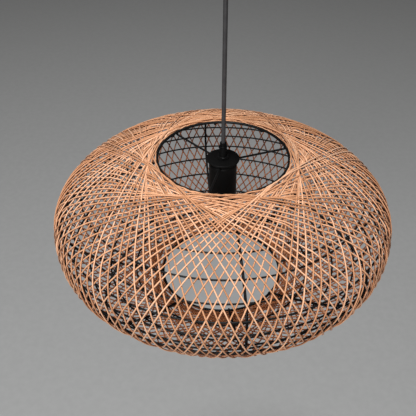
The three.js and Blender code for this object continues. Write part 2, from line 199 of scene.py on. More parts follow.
def wound_cord_material():
    """Twisted paper cord: each strand has its own tone, with slanting ply lines and fine fibres, and
    painted shade in its ply grooves and on its sides and back.
    """
    material, nodes, links = new_material("wound_cord")
    shader = nodes["Principled BSDF"]
    shader.inputs["Sheen Weight"].default_value = 0.15
    shader.inputs["Sheen Roughness"].default_value = 0.5
    shader.inputs["Specular IOR Level"].default_value = 0.35
    shader.inputs["Roughness"].default_value = 0.62
    lay = nodes.new("ShaderNodeUVMap")
    lay.uv_map = "lay"
    split = nodes.new("ShaderNodeSeparateXYZ")
    links.new(lay.outputs["UV"], split.inputs["Vector"])
    # Ply lines: the turn round the strand less the turns along it, in whole waves.
    slant = math_node(nodes, links, "SUBTRACT", split.outputs["Y"], split.outputs["X"])
    waves = math_node(nodes, links, "MULTIPLY", slant, 2 * math.pi * 4)
    ply = math_node(nodes, links, "SINE", waves)
    place = nodes.new("ShaderNodeTexCoord")
    tone = nodes.new("ShaderNodeAttribute")
    tone.attribute_name = "tone"
    patch = nodes.new("ShaderNodeTexNoise")
    patch.inputs["Scale"].default_value = 60
    patch.inputs["Detail"].default_value = 5
    links.new(place.outputs["Object"], patch.inputs["Vector"])
    half_tone = math_node(nodes, links, "MULTIPLY", tone.outputs["Fac"], 0.55)
    mixed = math_node(nodes, links, "MULTIPLY_ADD", patch.outputs["Fac"], 0.45, half_tone)
    ramp = ramp_of(nodes, [
        (0.2, (0.48, 0.21, 0.09)),
        (0.5, (0.72, 0.355, 0.18)),
        (0.8, (0.88, 0.51, 0.31)),
    ])
    links.new(mixed, ramp.inputs["Fac"])
    # Painted shade and highlight: the colour is darkened in the ply lines' grooves and lightened a
    # little on their ridges.
    painted_groove_shade = nodes.new("ShaderNodeMapRange")
    painted_groove_shade.inputs["From Min"].default_value = -1
    painted_groove_shade.inputs["To Min"].default_value = 0.70
    painted_groove_shade.inputs["To Max"].default_value = 1.06
    links.new(ply, painted_groove_shade.inputs["Value"])
    shade = nodes.new("ShaderNodeVectorMath")
    shade.operation = "SCALE"
    links.new(ramp.outputs["Color"], shade.inputs["Vector"])
    links.new(painted_groove_shade.outputs["Result"], shade.inputs["Scale"])
    # Painted shade: the sides and the back of each strand are darker and browner than its front, where
    # the lay's Y is near 0 or 1, for the shadow between strands and inside the shade.
    turned = math_node(nodes, links, "MULTIPLY", split.outputs["Y"], 2 * math.pi)
    outwards = math_node(nodes, links, "COSINE", turned)
    facing = nodes.new("ShaderNodeMapRange")
    facing.inputs["From Min"].default_value = -1
    links.new(outwards, facing.inputs["Value"])
    painted_shade_ramp = ramp_of(nodes, [
        (0.1, (0.56, 0.35, 0.20)),
        (0.42, (0.38, 0.215, 0.115)),
        (0.82, (1, 1, 1)),
    ])
    links.new(facing.outputs["Result"], painted_shade_ramp.inputs["Fac"])
    painted_shade_colour = nodes.new("ShaderNodeVectorMath")
    painted_shade_colour.operation = "MULTIPLY"
    links.new(shade.outputs["Vector"], painted_shade_colour.inputs[0])
    links.new(painted_shade_ramp.outputs["Color"], painted_shade_colour.inputs[1])
    links.new(painted_shade_colour.outputs["Vector"], shader.inputs["Base Color"])
    fibre = nodes.new("ShaderNodeTexNoise")
    fibre.inputs["Scale"].default_value = 1800
    links.new(place.outputs["Object"], fibre.inputs["Vector"])
    height = math_node(nodes, links, "MULTIPLY_ADD", fibre.outputs["Fac"], 0.5, ply)
    bump = nodes.new("ShaderNodeBump")
    bump.inputs["Strength"].default_value = 0.5
    bump.inputs["Distance"].default_value = 0.12 * MM
    links.new(height, bump.inputs["Height"])
    links.new(bump.outputs["Normal"], shader.inputs["Normal"])
    return material


LOOKS = {
    "black_metal": surface(
        "black_metal", (0.0024, 0.0024, 0.0026), (0.0058, 0.0058, 0.006), 0.46, 1400, 0.05 * MM,
        gleam=0.18),
    "black_plastic": surface(
        "black_plastic", (0.0028, 0.0028, 0.0028), (0.006, 0.006, 0.006), 0.5, 900, 0.04 * MM,
        gleam=0.1),
    "cord_sheath": surface(
        "cord_sheath", (0.036, 0.035, 0.038), (0.056, 0.055, 0.058), 0.5, 1100, 0.05 * MM),
    "zinc_steel": surface(
        "zinc_steel", (0.42, 0.44, 0.46), (0.62, 0.63, 0.64), 0.34, 700, 0.03 * MM, metallic=1),
    "brass": surface(
        "brass", (0.60, 0.40, 0.14), (0.76, 0.54, 0.22), 0.28, 500, 0.02 * MM, metallic=1),
    "insulator": surface(
        "insulator", (0.62, 0.58, 0.50), (0.74, 0.71, 0.63), 0.3, 600, 0.02 * MM, coat=0.3),
    "black_rubber": surface(
        "black_rubber", (0.016, 0.016, 0.016), (0.03, 0.03, 0.03), 0.8, 900, 0.08 * MM),
    "brown_core": surface(
        "brown_core", (0.10, 0.035, 0.014), (0.15, 0.055, 0.022), 0.4, 800, 0.02 * MM),
    "blue_core": surface(
        "blue_core", (0.02, 0.08, 0.26), (0.03, 0.12, 0.36), 0.4, 800, 0.02 * MM),
    "wound_cord": wound_cord_material(),
}

# ---------------------------------------------------------------- building pieces


def piece(name, data, body, slot, replaces=()):
    """Adds a mesh or curve as a piece that rides on a body and has a slot's material."""
    made = bpy.data.objects.new(name, data)
    bpy.context.scene.collection.objects.link(made)
    data.materials.append(LOOKS[slot])
    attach(made, body)
    if replaces:
        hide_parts(*replaces)
    return made


def grid_mesh(name, rows, close_rows, close_columns, smooth=True):
    """A mesh of quads from rows of points, shape (rows, columns, 3). A tube's open ends are capped."""
    count, width = rows.shape[:2]
    index = np.arange(count * width).reshape(count, width)
    a = index if close_rows else index[:-1]
    b = np.roll(index, -1, 0) if close_rows else index[1:]
    if close_columns:
        quads = np.stack([a, np.roll(a, -1, 1), np.roll(b, -1, 1), b], -1)
    else:
        quads = np.stack([a[:, :-1], a[:, 1:], b[:, 1:], b[:, :-1]], -1)
    faces = [tuple(int(i) for i in q) for q in quads.reshape(-1, 4)]
    if not close_rows and close_columns:
        faces.append(tuple(int(i) for i in index[0][::-1]))
        faces.append(tuple(int(i) for i in index[-1]))
    mesh = bpy.data.meshes.new(name)
    mesh.from_pydata([tuple(p) for p in rows.reshape(-1, 3).tolist()], [], faces)
    if smooth:
        mesh.shade_smooth()
    return mesh


def frames_along(points, closed=False):
    """Two unit vectors square to the path at each of its points, turning as little as they can."""
    if closed:
        ahead = np.roll(points, -1, 0) - np.roll(points, 1, 0)
    else:
        ahead = np.gradient(points, axis=0)
    ahead /= np.linalg.norm(ahead, axis=1)[:, None]
    first = np.cross(ahead[0], [0, 0, 1.0])
    if np.linalg.norm(first) < 0.1:
        first = np.cross(ahead[0], [1.0, 0, 0])
    side = [first / np.linalg.norm(first)]
    for along in ahead[1:]:
        turned = side[-1] - along * (side[-1] @ along)
        side.append(turned / np.linalg.norm(turned))
    side = np.array(side)
    return side, np.cross(ahead, side)


def tube_mesh(name, points, diameter, sides=16, closed=False, tapers=()):
    """A round wire along a path. tapers are the shares of the radius that its end rows have."""
    points = np.array(points, float)
    side, over = frames_along(points, closed)
    if closed:
        outward = points - points.mean(0)
        side = outward / np.linalg.norm(outward, axis=1)[:, None]
        over = np.tile([0, 0, 1.0], (len(points), 1))
    turn = np.arange(sides) / sides * 2 * math.pi
    radius = np.full(len(points), diameter / 2)
    for i, share in enumerate(tapers):
        radius[i] *= share
        radius[-1 - i] *= share
    rows = (
        points[:, None]
        + radius[:, None, None] * np.cos(turn)[None, :, None] * side[:, None]
        + radius[:, None, None] * np.sin(turn)[None, :, None] * over[:, None]
    )
    mesh = grid_mesh(name, rows, closed, True)
    mesh_outwards(mesh)
    return mesh


def mesh_outwards(mesh, merge=False):
    """Turns the faces of a closed mesh to point out. merge first joins the corners that coincide."""
    work = bmesh.new()
    work.from_mesh(mesh)
    if merge:
        bmesh.ops.remove_doubles(work, verts=work.verts, dist=1e-7)
        bmesh.ops.dissolve_degenerate(work, edges=work.edges, dist=1e-8)
    bmesh.ops.recalc_face_normals(work, faces=work.faces)
    work.to_mesh(mesh)
    work.free()


def rounded(profile, radius, steps=4):
    """The profile, a closed outline of (r, z) points, with each corner rounded by up to that radius."""
    count = len(profile)
    out = []
    for i in range(count):
        before, here, after = (Vector(profile[(i + k) % count]) for k in (-1, 0, 1))
        to_before, to_after = before - here, after - here
        limit = min(radius, to_before.length * 0.45, to_after.length * 0.45)
        start = here + to_before.normalized() * limit
        end = here + to_after.normalized() * limit
        for k in range(steps + 1):
            t = k / steps
            point = start * (1 - t) ** 2 + here * 2 * t * (1 - t) + end * t**2
            out.append((max(point.x, 0), point.y))
    return out


def lathe_mesh(name, profile, radius=0.4 * MM, segments=96):
    """A closed solid of revolution about Z from a closed (r, z) outline, with rounded corners."""
    outline_points = np.array(rounded(profile, radius))
    turn = np.arange(segments) / segments * 2 * math.pi
    rows = np.stack(
        [
            outline_points[:, 0][None] * np.sin(turn)[:, None],
            -outline_points[:, 0][None] * np.cos(turn)[:, None],
            np.tile(outline_points[:, 1], (segments, 1)),
        ],
        -1,
    )
    mesh = grid_mesh(name, rows, True, True)
    mesh_outwards(mesh, merge=True)
    mesh.shade_smooth()
    return mesh


def weighted(made):
    """Keeps large faces looking flat beside their rounded edges."""
    made.modifiers.new("weighted", "WEIGHTED_NORMAL").keep_sharp = True
    return made


# ---------------------------------------------------------------- camera


def add_camera():
    """The camera, in front of the lamp and above it."""
    data = bpy.data.cameras.new("camera")
    camera = bpy.data.objects.new("camera", data)
    bpy.context.scene.collection.objects.link(camera)
    camera.location = Vector(CAMERA_PLACE) + Vector((0, 0, CENTRE_Z))
    ahead = Vector((
        math.sin(CAMERA_YAW) * math.cos(CAMERA_PITCH),
        math.cos(CAMERA_YAW) * math.cos(CAMERA_PITCH),
        -math.sin(CAMERA_PITCH),
    ))
    camera.rotation_mode = "QUATERNION"
    camera.rotation_quaternion = ahead.to_track_quat("-Z", "Y")
    data.lens = CAMERA_LENS
    data.sensor_width = 36
    data.clip_end = 50
    bpy.context.scene.camera = camera


add_camera()

# ---------------------------------------------------------------- pendant cord


def pendant_cord():
    """The free cord, taut between the canopy's grip and the lampholder's."""
    data = bpy.data.curves.new("pendant_flex", "CURVE")
    data.dimensions = "3D"
    data.bevel_depth = CORD / 2
    data.bevel_resolution = 6
    data.use_fill_caps = True
    spline = data.splines.new("POLY")
    spline.points.add(CORD_POINTS - 1)
    for i, point in enumerate(spline.points):
        height = CORD_BOTTOM_Z + (CORD_TOP_Z - CORD_BOTTOM_Z) * i / (CORD_POINTS - 1)
        point.co = (0, 0, height, 1)
    spline.use_smooth = True
    return piece("pendant_flex", data, "cord", "cord_sheath", ["pendant_cord"])


flex = pendant_cord()

# ---------------------------------------------------------------- the shade's outline

ANGLES = np.linspace(-1, 1, 4001) * math.acos((60 * MM / SHADE_RADIUS) ** (RADIAL_POWER / 2))
outline_r = SHADE_RADIUS * np.cos(ANGLES) ** (2 / RADIAL_POWER)
outline_z = SHADE_REACH * np.sign(ANGLES) * np.abs(np.sin(ANGLES)) ** (2 / HEIGHT_POWER)
outline_arc = np.concatenate([[0], np.cumsum(np.hypot(np.diff(outline_r), np.diff(outline_z)))])
outline_arc -= outline_arc[len(ANGLES) // 2]
slope_r = np.gradient(outline_r, outline_arc)
slope_z = np.gradient(outline_z, outline_arc)


def outline_at(arc, depth):
    """Radius and height of the outline at an arc length from the equator, moved inwards."""
    radius = np.interp(arc, outline_arc, outline_r) - np.interp(arc, outline_arc, slope_z) * depth
    height = np.interp(arc, outline_arc, outline_z) + np.interp(arc, outline_arc, slope_r) * depth
    return radius, height


def eased(share):
    """A share from 0 to 1 with a level start and end."""
    return share * share * (3 - 2 * share)


def around(radius, azimuth, height):
    """Points at radii, azimuths from the front towards +X, and heights above the shade's centre."""
    return np.stack([radius * np.sin(azimuth), -radius * np.cos(azimuth), CENTRE_Z + height], -1)


def arc_at_radius(radius):
    """The arc length from the equator up to where the outline has that radius."""
    upper = outline_arc >= 0
    return float(np.interp(-radius, -outline_r[upper], outline_arc[upper]))


def radius_at_height(height, depth):
    """The radius at a height above the shade's centre, on the outline moved inwards by a depth."""
    arcs = np.linspace(outline_arc[0], outline_arc[-1], len(outline_arc))
    radii, heights = outline_at(arcs, depth)
    return float(np.interp(height, heights, radii))


# ---------------------------------------------------------------- wound cord

rng = np.random.default_rng(SEED)
ARC_STEPS = 241


def even_pass():
    """The even path from mouth to mouth: arc lengths from the equator and the azimuth turned since."""
    reach = arc_at_radius(EVEN_RADIUS)
    sweep = np.linspace(-math.pi / 2, math.pi / 2, ARC_STEPS)
    arc = reach * np.sin(sweep)
    radius = np.interp(arc, outline_arc, outline_r)
    leaning = np.sqrt(np.maximum(radius**2 - EVEN_RADIUS**2, 1e-12))
    rate = EVEN_RADIUS * reach * np.cos(sweep) / (radius * leaning)
    rate[0] = 2 * rate[1] - rate[2]
    rate[-1] = rate[0]
    turned = np.concatenate([[0], np.cumsum((rate[1:] + rate[:-1]) / 2 * np.diff(sweep))])
    return arc, turned - turned[ARC_STEPS // 2]


EVEN_ARC, TURNED = even_pass()
SWING = TURNED[-1]


def pass_arcs(nearest):
    """The arc lengths of a pass that comes as near to the lamp's axis as a radius."""
    radius = np.interp(EVEN_ARC, outline_arc, outline_r)
    share = np.clip((DRAWN_WITHIN - radius) / (DRAWN_WITHIN - EVEN_RADIUS), 0, 1)
    drawn = arc_at_radius(nearest) - arc_at_radius(EVEN_RADIUS)
    return EVEN_ARC + np.sign(EVEN_ARC) * drawn * eased(share)


def plan_turns():
    """Every turn's fan, azimuth and nearest radius, and its place in the order of winding."""
    fan_step = 2 * math.pi / FANS
    low, high = TURN_RADII
    turns = []
    for fan in range(FANS):
        for i in range(FAN_TURNS):
            share = (i + 0.5 + rng.uniform(-SPACE_UNEVEN, SPACE_UNEVEN)) / FAN_TURNS * 2 - 1
            azimuth = FAN_AZIMUTH + (fan + share / 2) * fan_step
            if i % RING_TURNS == 1:
                nearest = RING_TURN_RADIUS + rng.uniform(-RADIUS_UNEVEN / 2, RADIUS_UNEVEN)
                turns.append((fan, azimuth, nearest, rng.uniform(0, 0.6)))
                continue
            uneven = rng.uniform(-RADIUS_UNEVEN, RADIUS_UNEVEN)
            nearest = low + (high - low) * math.cos(share * math.pi / 2) + uneven
            turns.append((fan, azimuth, nearest, abs(share) + rng.uniform(0, 0.5)))
    order = np.argsort(np.argsort([turn[3] for turn in turns]))
    return [(*turn[:3], int(place)) for turn, place in zip(turns, order)]


def crossings(turns):
    """Where each turn's two halves, rising and falling, cross others: (arc, 1 if over, else -1)."""
    reach = arc_at_radius(RING_TURN_RADIUS - 0.5 * MM)
    grid = np.linspace(-reach, reach, 500)
    turned = np.array([np.interp(grid, pass_arcs(turn[2]), TURNED) for turn in turns])
    azimuths = np.array([turn[1] for turn in turns])
    places = np.array([turn[3] for turn in turns])
    rising = [[] for _ in turns]
    falling = [[] for _ in turns]
    for i in range(len(turns)):
        # The azimuth from each falling half to this rising half grows steadily with the arc.
        apart = (azimuths[i] - azimuths - 2 * SWING)[:, None] + turned[i][None] + turned
        meeting = np.floor(apart[:, -1] / (2 * math.pi)) * 2 * math.pi
        past = apart >= meeting[:, None]
        for j in np.nonzero(~past[:, 0])[0]:
            arc = float(grid[past[j].argmax()])
            level = 1 if places[i] > places[j] else -1
            rising[i].append((arc, level))
            falling[j].append((arc, -level))
    return rising, falling


def levels_along(arc, along, up, down):
    """How high a turn lies at each place along it, from -1 where it is under others to +1 over them."""
    half = ARC_STEPS - 1
    met = [(float(np.interp(place, arc, along[: half + 1])), level) for place, level in up]
    met += [(float(np.interp(-place, -arc[::-1], along[half:])), level) for place, level in down]
    met.sort()
    at = np.array([place for place, _ in met])
    level = np.array([level for _, level in met], float)
    # Each change of level is softened over 5 mm each way.
    fine = np.arange(0, along[-1], MM)
    spread = np.interp(fine, at, level)
    window = np.hanning(11)
    spread = np.convolve(np.pad(spread, 5, "edge"), window / window.sum(), "valid")
    return np.interp(along, fine, spread)


def turn_path(azimuth, nearest, pile, up, down):
    """A whole turn as points, the way out at each, and the length along it."""
    arc = pass_arcs(nearest)
    arcs = np.concatenate([arc, arc[-2::-1]])
    azimuths = np.concatenate([azimuth - SWING + TURNED, azimuth + SWING - TURNED[-2::-1]])
    radius, height = outline_at(arcs, 0)
    flat = around(radius, azimuths, height)
    along = np.concatenate([[0], np.cumsum(np.linalg.norm(np.diff(flat, axis=0), axis=1))])
    level = levels_along(arc, along, up, down)
    beside_mouth = radius - MOUTH_RADIUS
    near_mouth = np.clip(1 - beside_mouth / PILE_WITHIN, 0, 1)
    on_ring = np.clip(1 - beside_mouth / RING_LIFT_WITHIN, 0, 1)
    depth = (OVER_DEPTH + UNDER_DEPTH) / 2 - level * (UNDER_DEPTH - OVER_DEPTH) / 2
    depth = depth - pile * near_mouth - RING_LIFT * eased(on_ring)
    radius, height = outline_at(arcs, depth)
    points = around(radius, azimuths, height)
    along = np.concatenate([[0], np.cumsum(np.linalg.norm(np.diff(points, axis=0), axis=1))])
    wanted = np.linspace(0, along[-1], int(along[-1] / STRAND_STEP) + 1)
    points = np.stack([np.interp(wanted, along, points[:, k]) for k in range(3)], -1)
    at_radius = np.interp(wanted, along, np.interp(arcs, outline_arc, slope_z))
    at_height = np.interp(wanted, along, -np.interp(arcs, outline_arc, slope_r))
    at_azimuth = np.interp(wanted, along, azimuths)
    outward = np.stack([at_radius * np.sin(at_azimuth), -at_radius * np.cos(at_azimuth), at_height], -1)
    return points, outward, wanted


def strand_rows(points, outward, along):
    """The corner points of a twisted strand, in rows along it."""
    ahead = np.gradient(points, axis=0)
    ahead /= np.linalg.norm(ahead, axis=1)[:, None]
    over = outward - ahead * (outward * ahead).sum(1)[:, None]
    over /= np.linalg.norm(over, axis=1)[:, None]
    side = np.cross(ahead, over)
    turn = np.arange(STRAND_SIDES) / STRAND_SIDES * 2 * math.pi
    twist = along / TWIST_PITCH * math.pi
    radius = STRAND / 2 * (1 + LOBE * np.cos(2 * (turn[None] - twist[:, None])))
    radius[0] *= 0.5
    radius[-1] *= 0.5
    return (
        points[:, None]
        + (radius * np.cos(turn))[..., None] * over[:, None]
        + (radius * np.sin(turn))[..., None] * side[:, None]
    )


def fan_mesh(name, strands):
    """One mesh of several strands, with their lay as a UV map and their tone as an attribute."""
    corners, quads, caps, lays, tones = [], [], [], [], []
    start = 0
    for rows, along, tone in strands:
        count = len(rows)
        index = start + np.arange(count * STRAND_SIDES).reshape(count, STRAND_SIDES)
        a, b = index[:-1], index[1:]
        quads.append(np.stack([a, np.roll(a, -1, 1), np.roll(b, -1, 1), b], -1).reshape(-1, 4))
        caps += [index[0][::-1], index[-1]]
        place = along / TWIST_PITCH / 2
        round_it = np.arange(STRAND_SIDES) / STRAND_SIDES
        low = np.broadcast_to(place[:-1, None], (count - 1, STRAND_SIDES))
        high = np.broadcast_to(place[1:, None], (count - 1, STRAND_SIDES))
        near = np.broadcast_to(round_it, (count - 1, STRAND_SIDES))
        far = near + 1 / STRAND_SIDES
        lays.append(np.stack([low, near, low, far, high, far, high, near], -1).reshape(-1, 2))
        tones.append(np.full(count * STRAND_SIDES, tone, np.float32))
        corners.append(rows.reshape(-1, 3))
        start += count * STRAND_SIDES
    corners, quads = np.concatenate(corners), np.concatenate(quads)
    loops = np.concatenate([quads.ravel(), np.concatenate(caps)])
    starts = np.concatenate([
        np.arange(len(quads)) * 4,
        len(quads) * 4 + np.arange(len(caps)) * STRAND_SIDES,
    ])
    mesh = bpy.data.meshes.new(name)
    mesh.vertices.add(len(corners))
    mesh.vertices.foreach_set("co", corners.astype(np.float32).ravel())
    mesh.loops.add(len(loops))
    mesh.loops.foreach_set("vertex_index", loops.astype(np.int32))
    mesh.polygons.add(len(starts))
    mesh.polygons.foreach_set("loop_start", starts.astype(np.int32))
    mesh.update(calc_edges=True)
    lay = mesh.uv_layers.new(name="lay")
    uv = np.zeros((len(loops), 2), np.float32)
    uv[: len(quads) * 4] = np.concatenate(lays)
    lay.data.foreach_set("uv", uv.ravel())
    attribute = mesh.attributes.new("tone", "FLOAT", "POINT")
    attribute.data.foreach_set("value", np.concatenate(tones))
    mesh.validate()
    mesh.shade_smooth()
    return mesh


def wind_shade():
    """All turns, laid over and under each other, and grouped into one piece for each fan."""
    turns = plan_turns()
    rising, falling = crossings(turns)
    strands = [[] for _ in range(FANS)]
    for (fan, azimuth, nearest, place), up, down in zip(turns, rising, falling):
        pile = PILE * place / len(turns) + rng.uniform(-PILE_UNEVEN, PILE_UNEVEN)
        points, outward, along = turn_path(azimuth, nearest, pile, up, down)
        strands[fan].append((strand_rows(points, outward, along), along, rng.uniform(0, 1)))
    for fan in range(FANS):
        name = f"wound_cord_{fan + 1}"
        piece(name, fan_mesh(name, strands[fan]), "lamp", "wound_cord", ["woven_shade"])


wind_shade()

# ---------------------------------------------------------------- wire cage


def ring_of(name, radius, height, diameter, sides):
    """A wire bent into a ring, in place of a CAD node."""
    turn = np.arange(192) / 192 * 2 * math.pi
    points = around(radius, turn, np.full(192, height))
    mesh = tube_mesh(name, points, diameter, sides, closed=True)
    return piece(f"{name}_wire", mesh, "lamp", "black_metal", [name])


def height_of(node):
    """The height of a CAD node's middle above the shade's centre."""
    low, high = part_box(node)
    return (low.z + high.z) / 2 - CENTRE_Z


for mouth in ("top_ring", "bottom_ring"):
    ring_of(mouth, RING_RADIUS, height_of(mouth), RING_WIRE, 16)

for number in range(1, HOOP_COUNT + 1):
    for half in ("upper", "lower"):
        hoop = f"{half}_hoop_{number}"
        height = height_of(hoop)
        ring_of(hoop, radius_at_height(height, HOOP_DEPTH), height, HOOP_WIRE, 12)


def rib_points(azimuth):
    """A rib's path from ring to ring, deepest between the last hoops."""
    end_arc = arc_at_radius(RING_RADIUS + 1 * MM)
    arcs = np.linspace(-end_arc, end_arc, 121)
    last_hoop = height_of(f"upper_hoop_{HOOP_COUNT}") + HOOP_WIRE
    taper_from = float(np.interp(last_hoop, outline_z, outline_arc))
    share = np.clip((np.abs(arcs) - taper_from) / (end_arc - taper_from), 0, 1)
    radius, height = outline_at(arcs, RIB_DEPTH + (RIB_END_DEPTH - RIB_DEPTH) * share)
    return around(radius, np.full(len(arcs), azimuth), height)


for number in range(RIB_COUNT):
    node = f"rib_{number + 1}"
    path = rib_points(FIRST_RIB + number * 2 * math.pi / RIB_COUNT)
    mesh = tube_mesh(node, path, RIB_WIRE, 12, tapers=(0.6, 0.9))
    piece(f"{node}_wire", mesh, "lamp", "black_metal", [node])

# ---------------------------------------------------------------- spider and lampholder


def span(node):
    """Lowest and highest points of a CAD node."""
    low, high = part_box(node)
    return low.z, high.z


for number, azimuth in enumerate(SPOKE_AZIMUTHS):
    node = f"spoke_{number + 1}"
    low_z, high_z = span(node)
    inner_z, outer_z = low_z + SPOKE_WIRE / 2, high_z - SPOKE_WIRE / 2
    reach = np.linspace(HUB_RADIUS + 0.3 * MM, RING_RADIUS + 1 * MM, 25)
    climb = inner_z + (outer_z - inner_z) * (reach - reach[0]) / (reach[-1] - reach[0])
    path = around(reach, np.full(len(reach), azimuth), climb - CENTRE_Z)
    mesh = tube_mesh(node, path, SPOKE_WIRE, 14, tapers=(0.75, 0.95))
    piece(f"{node}_rod", mesh, "lamp", "black_metal", [node])


def lathe_piece(node, body, slot, base_z, profile_mm, radius_mm=0.4, segments=96):
    """A smooth solid of revolution in place of a CAD node, from (r, z) in mm above base_z."""
    profile = [(r * MM, base_z + z * MM) for r, z in profile_mm]
    mesh = lathe_mesh(node, profile, radius_mm * MM, segments)
    return weighted(piece(f"{node}_form", mesh, body, slot, [node]))


def sleeve(node, body, slot, inner_mm, outer_mm, radius_mm):
    """A smooth washer or disc between a CAD node's own lowest and highest points."""
    low_z, high_z = span(node)
    height = (high_z - low_z) / MM
    profile = [(inner_mm, 0), (outer_mm, 0), (outer_mm, height), (inner_mm, height)]
    return lathe_piece(node, body, slot, low_z, profile, radius_mm)


STEM_HOLE_MM = 5.3
CORD_BORE_MM = 3.4
sleeve("cap_disc", "lamp", "black_plastic", STEM_HOLE_MM, 23.5, 0.9)
sleeve("spider_hub", "lamp", "black_metal", STEM_HOLE_MM, 17, 0.5)


def cover_tube():
    """The tube that hides the lampholder, with a rounded shoulder and a faint draft line."""
    low_z, high_z = span("cover_tube")
    top = (high_z - low_z) / MM
    profile = [
        (18.8, 0), (20, 0), (20, 1.2), (19.85, 1.6), (20, 2.0), (20, top - 3), (19.2, top - 0.9),
        (17.2, top), (STEM_HOLE_MM, top), (STEM_HOLE_MM, top - 1.5), (16.8, top - 1.5),
        (18.8, top - 3.4),
    ]
    return lathe_piece("cover_tube", "lamp", "black_plastic", low_z, profile, 0.5)


cover_tube()


def hex_nut(node, body, slot):
    """A hexagon nut with its corners turned off at both faces."""
    low_z, high_z = span(node)
    corner, bore = 9 * MM, STEM_HOLE_MM * MM
    flat = corner * math.cos(math.pi / 6)
    count = 144
    turn = np.arange(count) / count * 2 * math.pi
    hexagon = flat / np.cos(turn % (math.pi / 3) - math.pi / 6)
    turned_off = np.minimum(hexagon, flat * 1.01)
    slope = (hexagon - turned_off) * 0.55 + 0.05 * MM
    bevel = 0.35 * MM
    columns = [
        (np.full(count, bore), np.full(count, low_z + bevel)),
        (np.full(count, bore + bevel), np.full(count, low_z)),
        (turned_off - 0.2 * MM, np.full(count, low_z)),
        (hexagon, low_z + slope + 0.1 * MM),
        (hexagon, high_z - slope - 0.1 * MM),
        (turned_off - 0.2 * MM, np.full(count, high_z)),
        (np.full(count, bore + bevel), np.full(count, high_z)),
        (np.full(count, bore), np.full(count, high_z - bevel)),
    ]
    rows = np.stack([around(r, turn, z - CENTRE_Z) for r, z in columns], 1)
    mesh = grid_mesh(node, rows, True, True)
    mesh_outwards(mesh)
    mesh.set_sharp_from_angle(angle=math.radians(25))
    return weighted(piece(f"{node}_form", mesh, body, slot, [node]))


hex_nut("outer_lock_nut", "lamp", "black_metal")
hex_nut("inner_lock_nut", "lamp", "zinc_steel")
hex_nut("canopy_lock_nut", "ceiling", "zinc_steel")

lathe_piece(
    "holder_cord_grip", "lamp", "black_plastic", CENTRE_Z,
    [(CORD_BORE_MM, 87.5), (4.95, 87.5), (4.95, 110.3), (5.5, 110.3), (5.5, 125.4), (5.1, 126.2),
     (5.1, 127.2), (4.6, 131), (CORD_BORE_MM, 131)], 0.3)
lathe_piece(
    "holder_dome", "lamp", "black_plastic", CENTRE_Z,
    [(16.4, 72), (18, 72), (18, 89.5), (15, 92.5), (STEM_HOLE_MM, 92.5), (STEM_HOLE_MM, 90), (14, 90),
     (16.4, 87.5)], 0.8)
lathe_piece(
    "holder_shell", "lamp", "black_plastic", CENTRE_Z,
    [(14.9, 34.7), (20, 34.7), (20, 37.7), (18, 37.7), (18, 71.7), (16.6, 71.7), (16.6, 67.7),
     (14.9, 67.7)], 0.5)


def thread_shell():
    """The rolled E27 screw shell, with a true helix."""
    low_z, high_z = span("thread_shell")
    pitch = 27 / 7 * MM
    turn = np.arange(120) / 120 * 2 * math.pi
    heights = np.linspace(low_z, high_z, 81)
    wave = 0.5 * MM * np.cos(2 * math.pi * (heights[None] - low_z) / pitch - turn[:, None])
    outer, inner = 13.9 * MM + wave, 13.4 * MM + wave
    radius = np.concatenate([outer, inner[:, ::-1]], 1)
    height = np.tile(np.concatenate([heights, heights[::-1]]), (120, 1))
    rows = around(radius, np.broadcast_to(turn[:, None], radius.shape), height - CENTRE_Z)
    mesh = grid_mesh("thread_shell", rows, True, True)
    mesh_outwards(mesh)
    return piece("thread_shell_form", mesh, "lamp", "brass", ["thread_shell"])


thread_shell()

# ---------------------------------------------------------------- canopy and its cord grip

CANOPY_MM = 50
CANOPY_WALL_MM = 1.2
PIVOT_Z = -50 * MM


def canopy_cup():
    """A shallow spun cup with a rounded lower edge and a rolled rim."""
    corner = 7
    bottom, top = (z / MM for z in span("canopy_cup"))
    centre = CANOPY_MM - corner, bottom + corner
    turns = [i / 10 * math.pi / 2 for i in range(11)]
    inner = corner - CANOPY_WALL_MM
    outside, inside = (
        [(centre[0] + bend * math.sin(t), centre[1] - bend * math.cos(t)) for t in turns]
        for bend in (corner, inner)
    )
    profile = [
        (STEM_HOLE_MM, bottom), *outside, (CANOPY_MM, top), (CANOPY_MM - CANOPY_WALL_MM, top),
        *reversed(inside), (STEM_HOLE_MM, bottom + CANOPY_WALL_MM),
    ]
    return lathe_piece("canopy_cup", "ceiling", "black_metal", 0, profile, 0.35, 128)


canopy_cup()
lathe_piece(
    "canopy_cord_grip", "ceiling", "black_plastic", PIVOT_Z,
    [(7.5, -5.3), (8.6, -5.3), (9.2, -4.2), (9.2, 16.4), (8.6, 17.4), (8.6, 18.2), (9.2, 19.0),
     (9.2, 19.7), (4.95, 19.7), (4.95, 29), (CORD_BORE_MM, 29), (CORD_BORE_MM, 6.5), (6.6, 4),
     (6.6, -0.5), (6.4, -1.7), (5.95, -3), (6.6, -4)], 0.25)


def cord_bush():
    """The rubber bush: a ball cut off above and below, with a waisted bore."""
    ball = 6.2
    rows = [-3 + 6 * i / 12 for i in range(13)]
    outside = [(math.sqrt(ball**2 - z**2), z) for z in rows]
    inside = [(4.85, 3), (3.75, 0.7), (3.75, -0.7), (4.85, -3)]
    return lathe_piece("cord_bush", "bush", "black_rubber", PIVOT_Z, [*outside, *inside], 0.2)


cord_bush()

# ---------------------------------------------------------------- screws


